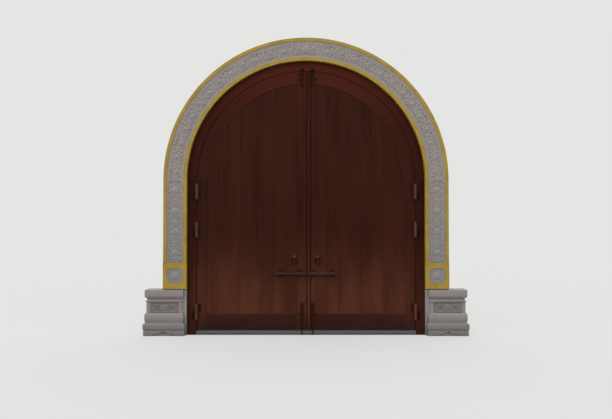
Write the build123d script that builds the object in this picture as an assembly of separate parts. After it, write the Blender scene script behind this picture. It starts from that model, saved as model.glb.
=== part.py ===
from build123d import *
import math
import os

# Arched two-leaf wooden gate in a carved stone surround.
# X runs to the right, the front faces -Y, and Z is up. The origin is on the
# ground, half way between the posts, in line with the face of the wooden frame.

# Gateway
opening_radius = 1885
springing = 2467
depth_back = 150

# Stone surround
surround_width = 375
surround_proud = 60
arch_stone_count = 7
stone_joint = 0.6

# Gilt mouldings on the surround
gilt_width = 60
gilt_proud = 15
gilt_edge = 5
gilt_joint = 0.5
bed_groove_height = 15
bed_groove_depth = 30

# Plinth under each leg: heights of its courses from the ground up
plinth_width = 660
plinth_inset = 20
plinth_proud = 120
scroll_foot_height = 92
foot_band_height = 104
bulge_height = 162
waist_height = 174
cove_height = 79
top_course_height = 110
scroll_foot_setback = 9
bulge_setback = 24
waist_setback = 50
cove_setback = 36
top_setback = 26
small_chamfer = 9
apron_depth = 12
waist_margin = 12

# Medallion panel, above the plinth
medallion_band = 104
medallion_height = 234
medallion_cross_band = 86
medallion_corner = 70

# Carving
relief = 12
relief_root = 3
border_width = 12
border_inset = 10
border_corner = 46
stem_width = 20
stem_swing = 66
scrolls_per_stone = 2
arch_rosette = 46
crown_rosette = 72
leg_rosette = 58
leg_rosette_count = 4
petal_count = 5
leaf_length = 70
leaf_width = 26
curl_radius = 34
curl_width = 13
boss_share = 0.36
boss_rise = 1.5

# Wooden frame
frame_face = 145
frame_joint = 0.5
stop_depth = 64
stop_lip = 20
leaf_gap = 8
sill_height = 65
sill_proud = 5
sill_groove = 8
sill_gap = 10

# Leaves
seam_x = 20
seam_gap = 0.6
edge_relief = 2.4
leaf_thickness = 60
hinge_stile = 150
left_meeting_stile = 167
right_meeting_stile = 130
arched_rail = 200
bottom_rail = 253
board_count = 8
board_gap = 0.6
board_recess = 6
board_thickness = 25
board_bevel = 2
ledge_height = 180
ledge_count = 4
first_ledge = 900
ledge_spacing = 840
strip_width = 48
strip_thickness = 8

# Lift-off hinges
bottom_hinge = 371
middle_hinge = 1668
top_hinge = 2275
hinge_height = 245
barrel_radius = 24
barrel_sides = 12
barrel_clearance = 2
hinge_pin_radius = 8
pin_clearance = 0.05
pin_engagement = 90
bearing_gap = 0.4
flag_width = 62
flag_thickness = 6
neck_width = 12

# Foot bolts and top bolts
bolt_half = 8
bolt_stand_off = 20
guide_clearance = 0.4
guide_wall = 8
guide_height = 34
bolt_plate_width = 44
bolt_plate_thickness = 4
bolt_inset = 84
foot_bolt_tip = 3
foot_bolt_top = 500
foot_bolt_travel = 100
foot_plate_bottom = 95
foot_handle_level = 330
top_plate_height = 215
top_bolt_travel = 40
top_bolt_clear = 4
top_handle_drop = 120
keeper_gap = 14
keeper_height = 34
keeper_clearance = 1
handle_radius = 6
handle_length = 58
handle_knob = 9

# Slide bolt across the seam
slide_level = 975
slide_half = 15
slide_stand_off = 28
slide_travel = 40
slide_knob_gap = 4
slide_tip_gap = 6
receiver_wall = 4
receiver_clearance = 0.5
bracket_width = 60
bracket_height = 120
bracket_plate = 6
near_left_bracket = 130
far_left_bracket = 428
near_right_bracket = 82
far_right_bracket = 401
receiver_overhang = 49
slide_knob_half = 21
slide_knob_width = 18

# Ring pulls
pull_inset = 37
pull_level = 1224
rose_radius = 32
rose_thickness = 8
rose_sides = 12
ring_sides = 20
bore_sides = 12
eye_width = 16
eye_radius = 13
eye_stand_off = 22
ring_radius = 50
ring_wire = 7
ring_clearance = 0.4

# Derived sizes
surround_outer = opening_radius + surround_width
surround_middle = opening_radius + surround_width / 2
field_half = surround_width / 2 - gilt_width
frame_inner = opening_radius - frame_face
leaf_radius = frame_inner - leaf_gap
infill_radius = leaf_radius - arched_rail
leaf_bottom = sill_height + sill_gap
leaf_top = springing + leaf_radius
board_front = board_recess
board_back = board_front + board_thickness
bottom_rail_top = leaf_bottom + bottom_rail
stile_inner = leaf_radius - hinge_stile
left_edge = seam_x - seam_gap / 2
right_edge = -seam_x - seam_gap / 2
left_stile_inner = left_edge - left_meeting_stile
right_stile_inner = right_edge - right_meeting_stile
left_bolt_x = seam_x - bolt_inset
right_bolt_x = seam_x + bolt_inset
left_brackets = (seam_x - far_left_bracket, seam_x - near_left_bracket)
right_brackets = (seam_x + near_right_bracket, seam_x + far_right_bracket)
receiver_end = right_brackets[1] + receiver_overhang
hinge_levels = (bottom_hinge, middle_hinge, top_hinge)
hinge_x = leaf_radius + leaf_gap / 2
hinge_y = -(barrel_radius + barrel_clearance)
foot_height = scroll_foot_height + foot_band_height
plinth_height = foot_height + bulge_height + waist_height + cove_height + top_course_height
gilt_bottom = plinth_height + bed_groove_height
medallion_bottom = plinth_height + medallion_band
medallion_top = medallion_bottom + medallion_height
leg_bottom = medallion_top + medallion_cross_band
medallion_level = (medallion_bottom + medallion_top) / 2
carving_front = -(surround_proud + relief)
slide_start = left_brackets[0] - bracket_width / 2 - slide_travel - slide_knob_gap

os.makedirs("parts", exist_ok=True)


def save(name, shape):
    shape.label = name
    export_step(shape, f"parts/{name}.step")


def face_of(points):
    return make_face(Polyline(*points, close=True))


def slab(outline, front, back):
    """Stands an outline of x and z up and gives it depth from front to back."""
    return extrude(Plane.XZ.offset(-back) * outline, amount=back - front)


def rectangle(x_low, x_high, z_low, z_high):
    return Pos((x_low + x_high) / 2, (z_low + z_high) / 2) * Rectangle(x_high - x_low, z_high - z_low)


def block(x_low, x_high, y_low, y_high, z_low, z_high):
    middle = ((x_low + x_high) / 2, (y_low + y_high) / 2, (z_low + z_high) / 2)
    return Pos(*middle) * Box(x_high - x_low, y_high - y_low, z_high - z_low)


def upright_rod(x, y, z_low, z_high, radius):
    return Pos(x, y, (z_low + z_high) / 2) * Cylinder(radius, z_high - z_low)


def level_bar(x_low, x_high, y, z, radius):
    """An eight-sided bar along X."""
    return Pos(x_low, y, z) * (Rot(0, 90, 0) * extrude(RegularPolygon(radius, 8), amount=x_high - x_low))


def round_hole(radius):
    """The outline of a drilled hole, with flats that touch its radius."""
    return RegularPolygon(radius, bore_sides, major_radius=False)


def on_side(shape, side):
    """Shapes are drawn on the left; the right side is their mirror image."""
    return shape if side == "left" else mirror(shape, about=Plane.YZ)


def group(solids):
    return Compound(children=list(solids))


# Outlines round the arch


def arch_point(angle, radius):
    """A point on a circle about the arch's centre; 0 degrees is the crown, left is positive."""
    turn = math.radians(angle)
    return (-radius * math.sin(turn), springing + radius * math.cos(turn))


def arch_band(start, end, inner, outer):
    """A piece of ring between two angles, with true arcs."""
    middle = (start + end) / 2
    outline = [
        ThreePointArc(arch_point(start, inner), arch_point(middle, inner), arch_point(end, inner)),
        Line(arch_point(end, inner), arch_point(end, outer)),
        ThreePointArc(arch_point(end, outer), arch_point(middle, outer), arch_point(start, outer)),
        Line(arch_point(start, outer), arch_point(start, inner)),
    ]
    return make_face(outline)


def degrees_for(length, radius):
    return math.degrees(length / radius)


# Carving: each motif is an outline of (along, across) points about its own centre


def rosette_outline(radius, petals):
    """Petal tips and the notches between them."""
    points = []
    for step in range(2 * petals):
        reach = radius if step % 2 else radius * 0.74
        turn = math.pi * (step + 0.5) / petals
        points.append((reach * math.cos(turn), reach * math.sin(turn)))
    return points


def lozenge_outline(length, width, turn):
    """A pointed leaf, turned by an angle in degrees."""
    corners = [(-length / 2, 0), (-length / 8, width / 2), (length / 2, 0), (-length / 8, -width / 2)]
    cosine, sine = math.cos(math.radians(turn)), math.sin(math.radians(turn))
    return [(x * cosine - y * sine, x * sine + y * cosine) for x, y in corners]


def curl_outline(radius, width, turns, hand):
    """A flat spiral band that tightens inwards; hand is +1 or -1."""
    steps = 4
    outer_edge, inner_edge = [], []
    for step in range(steps + 1):
        share = step / steps
        turn = hand * 2 * math.pi * turns * share
        reach = radius * (1 - 0.62 * share)
        band = width * (1 - 0.4 * share)
        outer_edge.append((reach * math.cos(turn), reach * math.sin(turn)))
        inner_edge.append(((reach - band) * math.cos(turn), (reach - band) * math.sin(turn)))
    return outer_edge + inner_edge[::-1]


def wave_outline(length, swing, width, steps):
    """A stem that swings once each way along its length, square to the field's ends."""
    upper, lower = [], []
    for step in range(steps + 1):
        along = length * (step / steps - 0.5)
        across = swing * math.sin(2 * math.pi * step / steps)
        upper.append((along, across + width / 2))
        lower.append((along, across - width / 2))
    return upper + lower[::-1]


def on_arch(points, angle, across=0.0):
    """Bends an outline round the arch: along runs to the left, across runs outwards."""
    placed = []
    for along, out in points:
        turn = angle + degrees_for(along, surround_middle)
        placed.append(arch_point(turn, surround_middle + across + out))
    return placed


def on_panel(points, x, z):
    """Sets an outline on an upright panel: along runs up, across runs to the right."""
    return [(x + out, z + along) for along, out in points]


def raise_motif(points, height=relief):
    return slab(face_of(points), -(surround_proud + height), -(surround_proud - relief_root))


# Stone surround


def arch_stone(index):
    """One carved stone of the arch, with a wavy stem, curls, rosettes and leaves."""
    share = 180 / arch_stone_count
    start = -90 + index * share
    joint = degrees_for(stone_joint / 2, surround_middle)
    low = start + (joint if index else 0)
    high = start + share - (joint if index < arch_stone_count - 1 else 0)
    stone = slab(arch_band(low, high, opening_radius, surround_outer), -surround_proud, depth_back)
    scroll_angle = share / scrolls_per_stone
    scroll_length = math.radians(scroll_angle) * surround_middle
    for scroll in range(scrolls_per_stone):
        centre = start + scroll_angle * (scroll + 0.5)
        hand = 1 if centre < 0 else -1
        stem = wave_outline(scroll_length - 2 * stem_width, hand * stem_swing, stem_width, 8)
        stone += raise_motif(on_arch(stem, centre))
        for half in (-1, 1):
            quarter = centre + half * scroll_angle / 4
            side = -half * hand
            flower = rosette_outline(arch_rosette, petal_count)
            stone += raise_motif(on_arch(flower, quarter, side * stem_width))
            boss = rosette_outline(arch_rosette * boss_share, 2)
            stone += raise_motif(on_arch(boss, quarter, side * stem_width), relief * boss_rise)
            for lean in (-1, 1):
                leaf = lozenge_outline(leaf_length, leaf_width, 90 + lean * 52)
                place = quarter + lean * scroll_angle / 7
                across = -side * (field_half - leaf_length * 0.6)
                stone += raise_motif(on_arch(leaf, place, across), relief * 0.7)
    if index == arch_stone_count // 2:
        stone += raise_motif(on_arch(rosette_outline(crown_rosette, petal_count), 0))
        boss = rosette_outline(crown_rosette * boss_share, petal_count)
        stone += raise_motif(on_arch(boss, 0), relief * boss_rise)
    return stone


def leg_border(z_low, z_high):
    """A raised border with cut corners, round a panel as wide as the field."""
    def ring(inset, corner):
        half = field_half - inset
        low, high = z_low + inset, z_high - inset
        return [
            (-half + corner, low), (half - corner, low), (half, low + corner), (half, high - corner),
            (half - corner, high), (-half + corner, high), (-half, high - corner), (-half, low + corner),
        ]
    inner = ring(border_inset + border_width, border_corner - border_width * 0.4)
    return face_of(ring(border_inset, border_corner)) - face_of(inner)


def leg_stone():
    """The upright stone of the left leg, with a bordered panel of rosettes and curls."""
    centre_x = -surround_middle
    stone = block(
        -surround_outer, -opening_radius, -surround_proud, depth_back,
        leg_bottom + stone_joint / 2, springing - stone_joint / 2,
    )
    border = Pos(centre_x, 0) * leg_border(leg_bottom + 8, springing - 8)
    stone += slab(border, carving_front, relief_root - surround_proud)
    pitch = (springing - leg_bottom) / leg_rosette_count
    for row in range(leg_rosette_count):
        level = leg_bottom + pitch * (row + 0.5)
        stone += raise_motif(on_panel(rosette_outline(leg_rosette, petal_count), centre_x, level))
        boss = rosette_outline(leg_rosette * boss_share, 2)
        stone += raise_motif(on_panel(boss, centre_x, level), relief * boss_rise)
        for side in (-1, 1):
            curl = curl_outline(curl_radius, curl_width, 0.8, side)
            stone += raise_motif(on_panel(curl, centre_x + side * field_half * 0.42, level + pitch * 0.33))
            leaf = on_panel(
                lozenge_outline(leaf_length, leaf_width, side * 38), centre_x + side * field_half * 0.42,
                level - pitch * 0.3,
            )
            stone += raise_motif(leaf, relief * 0.7)
    return stone


def medallion_stone():
    """The square stone between plinth and leg, with a round flower and a groove along its bed."""
    stone = block(
        -surround_outer, -opening_radius, -surround_proud, depth_back,
        plinth_height + stone_joint / 2, leg_bottom - stone_joint / 2,
    )
    stone -= block(
        -surround_outer - 1, -opening_radius + 1, -surround_proud - 1, -surround_proud + bed_groove_depth,
        plinth_height, gilt_bottom,
    )
    radius = medallion_height * 0.42
    sides = 4 * petal_count
    hoop = RegularPolygon(radius, sides) - RegularPolygon(radius - border_width, sides)
    rim = Pos(-surround_middle, medallion_level) * hoop
    stone += slab(rim, carving_front, relief_root - surround_proud)
    flower = rosette_outline(radius * 0.7, petal_count)
    stone += raise_motif(on_panel(flower, -surround_middle, medallion_level))
    boss = rosette_outline(radius * 0.7 * boss_share, 3)
    stone += raise_motif(on_panel(boss, -surround_middle, medallion_level), relief * boss_rise)
    return stone


# Gilt mouldings


def gilt_profile():
    """Cross-section of a gilt moulding: width along x, height along y."""
    return [(0, 0), (gilt_width, 0), (gilt_width - gilt_edge, gilt_proud), (gilt_edge, gilt_proud)]


def gilt_arch(inner):
    """A half-round moulding whose inner radius is given."""
    points = [(inner + across, -surround_proud - height, springing) for across, height in gilt_profile()]
    section = make_face(Polyline(*points, close=True))
    axis = Axis((0, 0, springing), (0, -1, 0))
    return revolve(section, axis, 180)


def gilt_leg(x_low):
    """A straight moulding on the left leg, from the medallion frame to the springing."""
    foot = leg_bottom + gilt_joint
    points = [(x_low + across, -surround_proud - height, foot) for across, height in gilt_profile()]
    section = make_face(Polyline(*points, close=True))
    return extrude(section, amount=springing - leg_bottom - 2 * gilt_joint, dir=(0, 0, 1))


def gilt_panel_frame():
    """The gilt frame round the left medallion: broad bands above and below, round corners inside."""
    frame = rectangle(-surround_outer, -opening_radius, gilt_bottom, leg_bottom)
    opening = RectangleRounded(surround_width - 2 * gilt_width, medallion_height, medallion_corner)
    frame -= Pos(-surround_middle, medallion_level) * opening
    return slab(frame, -(surround_proud + gilt_proud), -surround_proud)


# Plinths


def plinth_steps():
    """Outline of the mouldings from the ground up, as (setback, height)."""
    bulge_high = foot_height + bulge_height
    waist_high = bulge_high + waist_height
    cove_high = waist_high + cove_height
    return [
        (scroll_foot_setback, 0), (scroll_foot_setback, scroll_foot_height),
        (0, scroll_foot_height + small_chamfer), (0, foot_height - 2 * small_chamfer),
        (bulge_setback * 0.7, foot_height), (bulge_setback, foot_height + small_chamfer),
        (bulge_setback, bulge_high - bulge_height * 0.36),
        (bulge_setback * 1.3, bulge_high - bulge_height * 0.12), (waist_setback - small_chamfer, bulge_high),
        (waist_setback, bulge_high), (waist_setback, waist_high),
        (cove_setback + small_chamfer, waist_high + cove_height * 0.2),
        (cove_setback, cove_high - cove_height * 0.35), (cove_setback, cove_high),
        (top_setback + small_chamfer, cove_high), (top_setback, cove_high + small_chamfer),
        (top_setback, plinth_height - small_chamfer), (top_setback + small_chamfer, plinth_height),
    ]


def plinth():
    """The left plinth: its mouldings turn the corners at both ends, and its back is flat."""
    inner_end = -(opening_radius + plinth_inset)
    outer_end = inner_end - plinth_width
    steps = plinth_steps()
    side_view = [(-plinth_proud + setback, height) for setback, height in steps]
    side_view += [(depth_back, plinth_height), (depth_back, 0)]
    front_view = [(outer_end + setback, height) for setback, height in steps]
    front_view += [(inner_end - setback, height) for setback, height in reversed(steps)]
    along = extrude(Plane.YZ.offset(outer_end) * face_of(side_view), amount=inner_end - outer_end)
    across = slab(face_of(front_view), -plinth_proud, depth_back)
    body = (along & across) + block(
        -surround_outer, -opening_radius, -surround_proud, depth_back, 0, plinth_height
    )
    centre_x = (inner_end + outer_end) / 2
    body -= plinth_apron(centre_x, plinth_width)
    waist_front = -plinth_proud + waist_setback
    for outline in waist_carving(centre_x, plinth_width / 2 - waist_setback):
        body += slab(outline, waist_front - relief, waist_front + relief_root)
    return body


def waist_carving(centre_x, half):
    """A framed panel with a flower between two curls, and an upright strip beyond each end of it."""
    level = foot_height + bulge_height + waist_height / 2
    tall = waist_height / 2 - waist_margin
    panel = half * 0.8
    outer = rectangle(centre_x - panel, centre_x + panel, level - tall, level + tall)
    inner = rectangle(
        centre_x - panel + border_width, centre_x + panel - border_width,
        level - tall + border_width, level + tall - border_width,
    )
    flower = face_of(on_panel(rosette_outline(tall * 0.7, petal_count), centre_x, level))
    outlines = [outer - inner, flower]
    for side in (-1, 1):
        curl = curl_outline(tall * 0.7, stem_width * 0.7, 0.85, side)
        outlines.append(face_of(on_panel(curl, centre_x + side * panel * 0.56, level)))
        strip = centre_x + side * half * 0.91
        outlines.append(rectangle(strip - half * 0.05, strip + half * 0.05, level - tall, level + tall))
    return outlines


def plinth_apron(centre_x, width):
    """The hollow between the scroll feet: a recess in the foot's front, with an ogee arch for its top."""
    half = width * 0.32
    rise = scroll_foot_height * 0.86
    left, right = (centre_x - half, 0), (centre_x + half, 0)
    left_hip, right_hip = (centre_x - half * 0.86, rise * 0.55), (centre_x + half * 0.86, rise * 0.55)
    peak = (centre_x, rise)
    outline = [
        Line(left, right), Line(right, right_hip),
        ThreePointArc(right_hip, (centre_x + half * 0.5, rise * 0.72), peak),
        ThreePointArc(peak, (centre_x - half * 0.5, rise * 0.72), left_hip),
        Line(left_hip, left),
    ]
    return slab(make_face(outline), -plinth_proud - 1, -plinth_proud + scroll_foot_setback + apron_depth)


def sill():
    """A stone step between the posts, with a shallow groove along its front."""
    front = -sill_proud
    half = frame_inner - stone_joint
    groove_low = sill_height * 0.28
    profile = [
        (front, 0), (front, groove_low), (front + sill_groove, groove_low + 3),
        (front + sill_groove, groove_low + 7), (front, groove_low + 10), (front, sill_height - 5),
        (front + 5, sill_height), (depth_back, sill_height), (depth_back, 0),
    ]
    return extrude(Plane.YZ.offset(-half) * face_of(profile), amount=2 * half)


# Wooden frame


def post():
    """The left post, with a stop behind the leaf."""
    face = block(-opening_radius, -frame_inner, 0, depth_back, 0, springing - frame_joint)
    lip = block(
        -frame_inner, -frame_inner + stop_lip, stop_depth, depth_back,
        leaf_bottom, springing - frame_joint,
    )
    return face + lip


def head_half():
    """The left half of the arched head, from the springing to the crown."""
    gap = degrees_for(frame_joint, frame_inner)
    face = slab(arch_band(gap, 90, frame_inner, opening_radius), 0, depth_back)
    lip = slab(arch_band(gap, 90, frame_inner - stop_lip, frame_inner), stop_depth, depth_back)
    return face + lip


# Leaves: drawn for the left side, with the meeting edge at edge_x


def leaf_outline(radius, x_high):
    """The area of a leaf inside a radius: a quarter disc on top of a rectangle."""
    disc = Pos(0, springing) * Circle(radius)
    body = disc + rectangle(-radius, radius, leaf_bottom, springing)
    return body & rectangle(-radius, x_high, leaf_bottom, springing + radius)


def stile_of_hinge():
    outline = rectangle(-leaf_radius, -stile_inner, leaf_bottom, springing - frame_joint)
    return slab(outline, 0, leaf_thickness)


def stile_of_meeting(edge_x, inner_x):
    """Runs the whole height, with its top cut to the arch and its edge relieved towards the back."""
    outline = leaf_outline(leaf_radius, edge_x) & rectangle(inner_x, edge_x, leaf_bottom, leaf_top)
    relief_cut = face_of([
        (edge_x, 0), (edge_x + edge_relief, 0),
        (edge_x + edge_relief, leaf_thickness), (edge_x - edge_relief, leaf_thickness),
    ])
    return slab(outline, 0, leaf_thickness) - extrude(relief_cut, amount=leaf_top + leaf_gap)


def rail_of_arch(inner_x):
    """Curves from the springing to the meeting stile."""
    band = Pos(0, springing) * (Circle(leaf_radius) - Circle(infill_radius))
    outline = band & rectangle(-leaf_radius, inner_x - frame_joint, springing, springing + leaf_radius)
    return slab(outline, 0, leaf_thickness)


def rail_of_bottom(inner_x):
    outline = rectangle(-stile_inner + frame_joint, inner_x - frame_joint, leaf_bottom, bottom_rail_top)
    return slab(outline, 0, leaf_thickness)


def infill(x_low, x_high, z_low, z_high):
    """A rectangle cut to the inside of the arched rail."""
    disc = Pos(0, springing) * Circle(infill_radius - board_gap)
    room = disc + rectangle(-stile_inner + board_gap, leaf_radius, bottom_rail_top, springing - board_gap)
    return room & rectangle(x_low, x_high, z_low, z_high)


def boards(inner_x):
    """Upright boards side by side, each with bevelled front edges."""
    made = []
    pitch = (inner_x + stile_inner) / board_count
    for index in range(board_count):
        low = -stile_inner + index * pitch + board_gap / 2
        high = low + pitch - board_gap
        board = slab(infill(low, high, bottom_rail_top + board_gap, leaf_top), board_front, board_back)
        for edge in (low, high):
            bevel = face_of([
                (edge - board_bevel, board_front), (edge, board_front - board_bevel),
                (edge + board_bevel, board_front), (edge, board_front + board_bevel),
            ])
            board -= extrude(bevel, amount=leaf_top)
        made.append(board.solids()[0])
    return group(made)


def ledges(inner_x):
    """Level battens across the back of the boards."""
    made = []
    for level in [first_ledge + index * ledge_spacing for index in range(ledge_count)]:
        outline = infill(
            -stile_inner + board_gap, inner_x - board_gap, level - ledge_height / 2, level + ledge_height / 2
        )
        made += slab(outline, board_back, leaf_thickness).solids()
    return group(made)


# Hinges


def hinge_barrel(x, z_low, z_high):
    outline = Rot(0, 0, 180 / barrel_sides) * RegularPolygon(barrel_radius, barrel_sides)
    return Pos(x, hinge_y, z_low) * extrude(outline, amount=z_high - z_low)


def hinge_halves(level):
    """The frame half with its pin below, and the leaf half with its socket above."""
    low, high = level - hinge_height / 2, level + hinge_height / 2
    barrel_x = -hinge_x
    lower = hinge_barrel(barrel_x, low, level)
    lower += block(barrel_x - barrel_radius, barrel_x - barrel_radius + neck_width, hinge_y, 0, low, level)
    flag_edge = -(frame_inner + leaf_gap / 4)
    lower += block(flag_edge - flag_width, flag_edge, -flag_thickness, 0, low, level)
    lower += upright_rod(barrel_x, hinge_y, level - 1, level + pin_engagement, hinge_pin_radius)
    base = level + bearing_gap
    upper = hinge_barrel(barrel_x, base, high)
    upper += block(barrel_x + barrel_radius - neck_width, barrel_x + barrel_radius, hinge_y, 0, base, high)
    upper += block(-leaf_radius, -leaf_radius + flag_width, -flag_thickness, 0, base, high)
    socket_top = level + pin_engagement + bearing_gap
    socket = round_hole(hinge_pin_radius + pin_clearance)
    upper -= Pos(barrel_x, hinge_y, level) * extrude(socket, amount=socket_top - level)
    return lower.solids()[0], upper.solids()[0]


# Bolts


def square_bar(x, z_low, z_high, half):
    return block(x - half, x + half, -bolt_stand_off - half, -bolt_stand_off + half, z_low, z_high)


def bolt_plate(x, z_low, z_high, guide_levels):
    """A long plate with guides that the square bolt slides in."""
    half = bolt_plate_width / 2
    made = block(x - half, x + half, -bolt_plate_thickness, 0, z_low, z_high)
    reach = bolt_half + guide_wall
    for level in guide_levels:
        made += block(
            x - reach, x + reach, -bolt_stand_off - reach, -bolt_plate_thickness,
            level - guide_height / 2, level + guide_height / 2,
        )
    return made - square_bar(x, z_low - 1, z_high + 1, bolt_half + guide_clearance)


def bolt_rod(x, z_low, z_high, handle_level, hand):
    """A square bar with a side handle; hand is -1 or +1."""
    rod = square_bar(x, z_low, z_high, bolt_half)
    handle_end = x + hand * handle_length
    rod += level_bar(min(x, handle_end), max(x, handle_end), -bolt_stand_off, handle_level, handle_radius)
    knob_start = handle_end - handle_knob / 2
    rod += level_bar(knob_start, knob_start + handle_knob, -bolt_stand_off, handle_level, handle_knob)
    return rod


def foot_plate(x):
    half_guide = guide_height / 2
    middle = (foot_plate_bottom + foot_bolt_top) * 0.45
    levels = (foot_plate_bottom + half_guide, middle, foot_bolt_top - half_guide)
    return bolt_plate(x, foot_plate_bottom, foot_bolt_top, levels)


def foot_rod(x, hand):
    return bolt_rod(x, foot_bolt_tip, foot_bolt_top + 10, foot_handle_level, hand)


def leaf_edge_height(x):
    return springing + math.sqrt(leaf_radius**2 - x**2)


def top_plate(x):
    high = leaf_edge_height(x) - 10
    low = high - top_plate_height
    half_guide = guide_height / 2
    return bolt_plate(x, low, high, (low + half_guide, high - half_guide))


def top_rod(x, hand):
    high = leaf_edge_height(x) - top_bolt_clear
    handle_level = high - top_handle_drop
    return bolt_rod(x, high - top_plate_height - 25, high, handle_level, hand)


def top_keeper(x):
    """A bracket on the frame's head that takes the top bolt."""
    low = leaf_edge_height(x) + keeper_gap
    reach = bolt_half + guide_wall
    made = block(x - reach, x + reach, -bolt_stand_off - reach, 0, low, low + keeper_height)
    return made - square_bar(x, low - 1, low + keeper_height - 4, bolt_half + keeper_clearance)


def slide_bar(x_low, x_high, half):
    return block(
        x_low, x_high, -slide_stand_off - half, -slide_stand_off + half,
        slide_level - half, slide_level + half,
    )


def slide_bracket(x, back):
    """A plate with a thick loop, whose back face lies at a depth of its own."""
    half_loop = slide_half + receiver_wall + 6
    made = block(
        x - bracket_width / 2, x + bracket_width / 2, back - bracket_plate, back,
        slide_level - bracket_height / 2, slide_level + bracket_height / 2,
    )
    made += block(
        x - bracket_width / 2, x + bracket_width / 2, -slide_stand_off - half_loop, back,
        slide_level - half_loop, slide_level + half_loop,
    )
    return made


def slide_guides():
    made = []
    for x in left_brackets:
        bracket = slide_bracket(x, 0 if x > left_stile_inner else board_front)
        hole = slide_bar(x - bracket_width, x + bracket_width, slide_half + guide_clearance)
        made += (bracket - hole).solids()
    return group(made)


def slide_bolt():
    """A square bar with a broad end to push; its tip stops just short of the seam."""
    bar = slide_bar(slide_start, seam_x - slide_tip_gap, slide_half)
    return bar + slide_bar(slide_start - slide_knob_width, slide_start, slide_knob_half)


def slide_receiver():
    """The square tube on the right leaf that takes the bolt, held by two brackets."""
    start = seam_x + slide_tip_gap
    tube = slide_bar(start, receiver_end, slide_half + receiver_wall)
    for x in right_brackets:
        tube += slide_bracket(x, 0 if x < -right_stile_inner else board_front)
    return tube - slide_bar(start - 1, receiver_end - 2 * receiver_wall, slide_half + receiver_clearance)


# Ring pulls


def eye_drop():
    """How far the ring's wire drops across the width of the eye."""
    return ring_radius - math.sqrt(ring_radius**2 - (eye_width / 2) ** 2)


def pull_rose(x):
    """A round rose on the boards with an eye that the ring hangs in."""
    back = board_front
    rose = slab(Pos(x, pull_level) * RegularPolygon(rose_radius, rose_sides), back - rose_thickness, back)
    rose += block(
        x - eye_width / 2, x + eye_width / 2, -eye_stand_off, back - rose_thickness,
        pull_level - eye_radius, pull_level + eye_radius,
    )
    rose += level_bar(x - eye_width / 2, x + eye_width / 2, -eye_stand_off, pull_level, eye_radius)
    bore = ring_wire + eye_drop() / 2 + ring_clearance
    hole = Rot(0, 90, 0) * extrude(round_hole(bore), amount=2 * eye_width)
    return rose - Pos(x - eye_width, -eye_stand_off, pull_level) * hole


def pull_ring(x):
    """A ring of square section that hangs from the eye, free to lift about the eye's axis."""
    half = ring_wire * 0.68
    hoop = RegularPolygon(ring_radius + half, ring_sides) - RegularPolygon(ring_radius - half, ring_sides)
    middle = Pos(x, pull_level + eye_drop() / 2 - ring_radius)
    return slab(middle * hoop, -eye_stand_off - half, -eye_stand_off + half)


def save_surround():
    save("sill", sill())
    for side in ("left", "right"):
        save(f"{side}_plinth", on_side(plinth(), side))
        save(f"{side}_medallion_stone", on_side(medallion_stone(), side))
        save(f"{side}_leg_stone", on_side(leg_stone(), side))
        save(f"{side}_gilt_panel_frame", on_side(gilt_panel_frame(), side))
        save(f"{side}_outer_gilt_leg", on_side(gilt_leg(-surround_outer), side))
        save(f"{side}_inner_gilt_leg", on_side(gilt_leg(-opening_radius - gilt_width), side))
    for index in range(arch_stone_count):
        save(f"arch_stone_{index + 1}", arch_stone(index))
    save("outer_gilt_arch", gilt_arch(surround_outer - gilt_width))
    save("inner_gilt_arch", gilt_arch(opening_radius))


def save_frame():
    for side in ("left", "right"):
        save(f"{side}_post", on_side(post(), side))
        save(f"{side}_head", on_side(head_half(), side))
    save("top_keepers", group(top_keeper(x).solids()[0] for x in (left_bolt_x, right_bolt_x)))


def save_leaf(side, edge_x, inner_x):
    """Saves a leaf's own pieces, drawn as a left leaf: its meeting stile runs from inner_x to edge_x."""
    save(f"{side}_hinge_stile", on_side(stile_of_hinge(), side))
    save(f"{side}_meeting_stile", on_side(stile_of_meeting(edge_x, inner_x), side))
    save(f"{side}_arched_rail", on_side(rail_of_arch(inner_x), side))
    save(f"{side}_bottom_rail", on_side(rail_of_bottom(inner_x), side))
    save(f"{side}_boards", on_side(boards(inner_x), side))
    save(f"{side}_ledges", on_side(ledges(inner_x), side))
    halves = [hinge_halves(level) for level in hinge_levels]
    save(f"{side}_frame_hinges", group(on_side(lower, side) for lower, upper in halves))
    save(f"{side}_leaf_hinges", group(on_side(upper, side) for lower, upper in halves))


def save_ironwork():
    pulls = {"left": left_stile_inner - pull_inset, "right": -right_stile_inner + pull_inset}
    for side, x, hand in (("left", left_bolt_x, -1), ("right", right_bolt_x, 1)):
        save(f"{side}_foot_bolt_plate", foot_plate(x))
        save(f"{side}_foot_bolt", foot_rod(x, hand))
        save(f"{side}_top_bolt_plate", top_plate(x))
        save(f"{side}_top_bolt", top_rod(x, hand))
        save(f"{side}_pull_rose", pull_rose(pulls[side]))
        save(f"{side}_pull_ring", pull_ring(pulls[side]))
    save("slide_bolt_guides", slide_guides())
    save("slide_bolt", slide_bolt())
    save("slide_bolt_receiver", slide_receiver())
    strip_edge = seam_x + seam_gap / 2
    strip_top = leaf_edge_height(strip_edge + strip_width)
    strip = block(strip_edge, strip_edge + strip_width, -strip_thickness, 0, leaf_bottom, strip_top)
    save("cover_strip", strip)


save_surround()
save_frame()
save_leaf("left", left_edge, left_stile_inner)
save_leaf("right", right_edge, right_stile_inner)
save_ironwork()
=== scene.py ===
import math

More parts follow.
